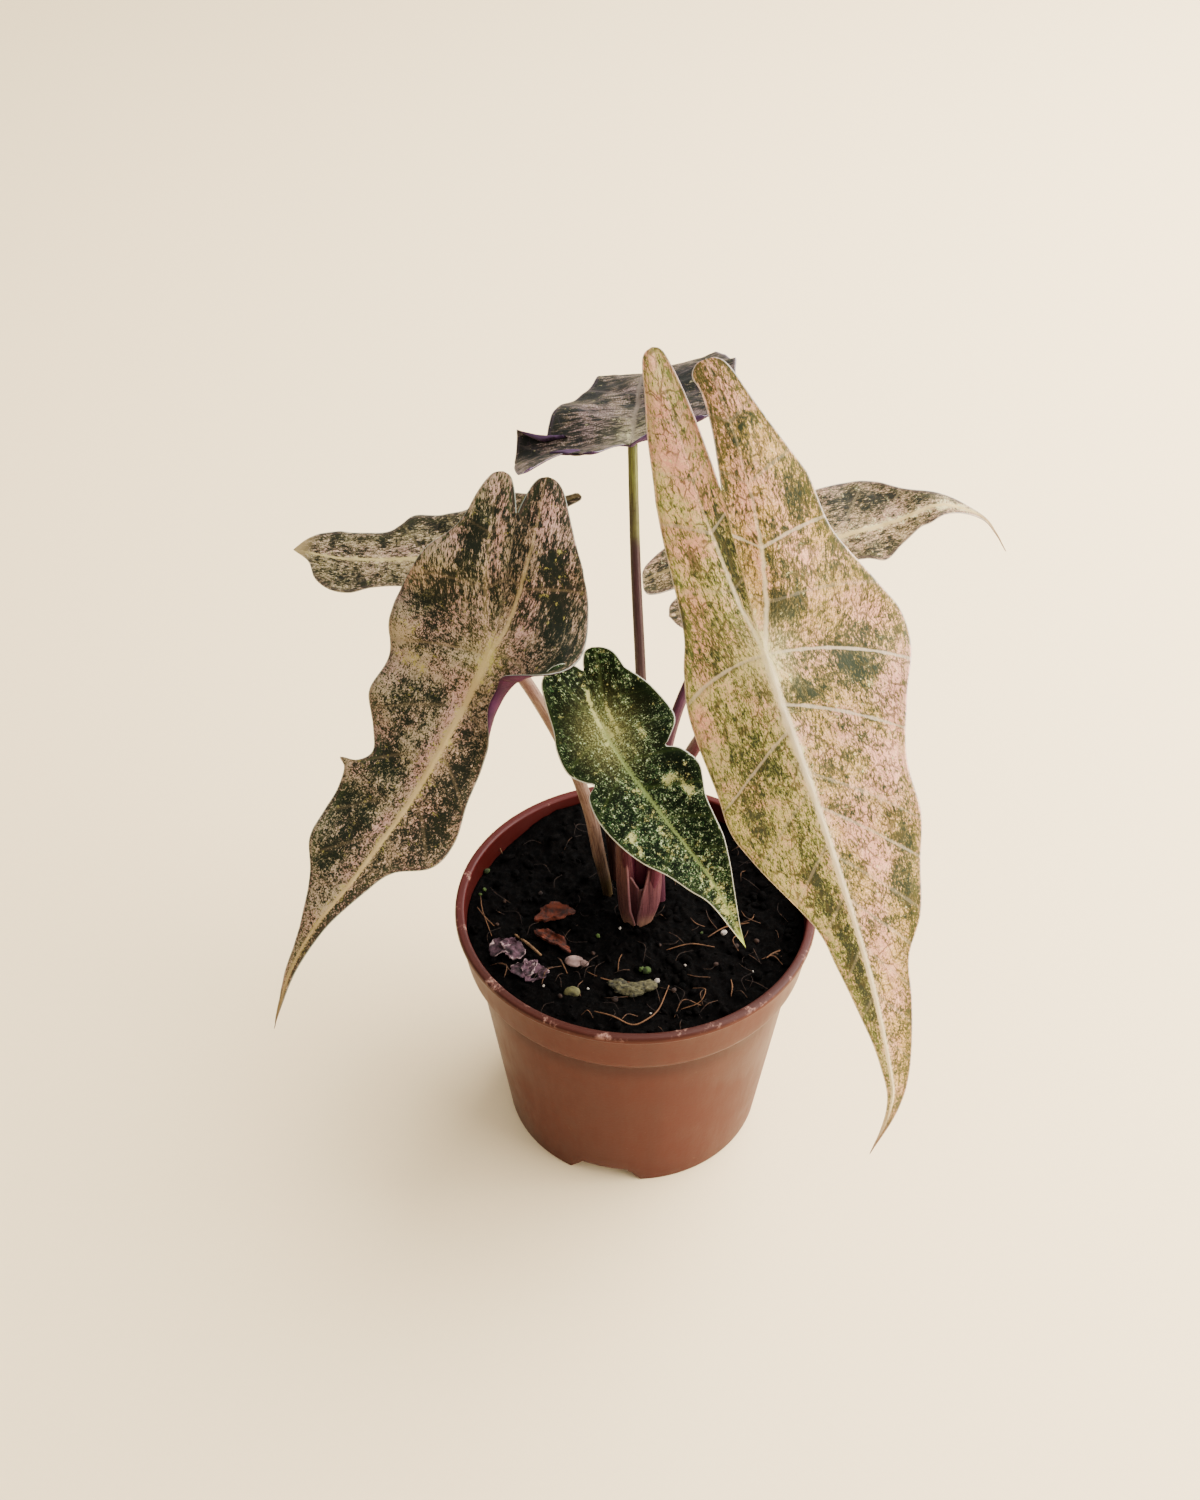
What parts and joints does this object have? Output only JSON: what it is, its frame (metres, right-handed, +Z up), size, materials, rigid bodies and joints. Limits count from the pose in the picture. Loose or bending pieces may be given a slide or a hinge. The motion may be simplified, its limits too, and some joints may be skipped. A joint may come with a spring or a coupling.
{
  "type": "potted arrow-leaved alocasia",
  "caption": "Small alocasia with long arrow-shaped marbled leaves on slender stalks, rising from one crown in dark peat in a tapered plastic nursery pot.",
  "frame": {"origin": "centre of the pot's round pad, on the pot's axis, in the plane of its underside", "axes": "+Z up, -Y towards the plant's front, which the two largest leaves and the small one hang over, +X to the right seen from the front"},
  "size_m": [0.23, 0.1931, 0.3182],
  "materials": {
    "pot": "smooth injection-moulded plastic with a dull sheen",
    "soil": "damp dark peat crumbs",
    "crown": "smooth fleshy leaf bases with fine stripes",
    "bark": "rough composted bark",
    "straw": "dry fibre",
    "dead_leaf": "shrivelled dry leaf",
    "stone": "dull mineral",
    "moss": "soft moss",
    "leaf_yellow_pink": "satin leaf",
    "leaf_dark_pink": "satin leaf",
    "leaf_green": "satin leaf",
    "leaf_grey": "satin leaf",
    "leaf_cream_green": "satin leaf",
    "stalk": "smooth fleshy stalk"
  },
  "bodies": {
    "root": {"pot": "pot", "soil": "soil", "crown": "crown", "bark_chip_back": "bark", "bark_chip_front": "bark", "pale_stick": "straw", "dead_leaf_scrap_back": "dead_leaf", "dead_leaf_scrap_front": "dead_leaf", "grey_chip": "stone", "pebble": "stone", "moss_lump": "moss", "leaf_right_front": "leaf_yellow_pink", "leaf_left_front": "leaf_dark_pink", "leaf_centre_front": "leaf_green", "leaf_top_back": "leaf_grey", "leaf_left_back": "leaf_cream_green", "leaf_right_back": "leaf_cream_green", "stalk_right_front": "stalk", "stalk_left_front": "stalk", "stalk_centre_front": "stalk", "stalk_top_back": "stalk", "stalk_left_back": "stalk", "stalk_right_back": "stalk"}
  },
  "joints": []
}
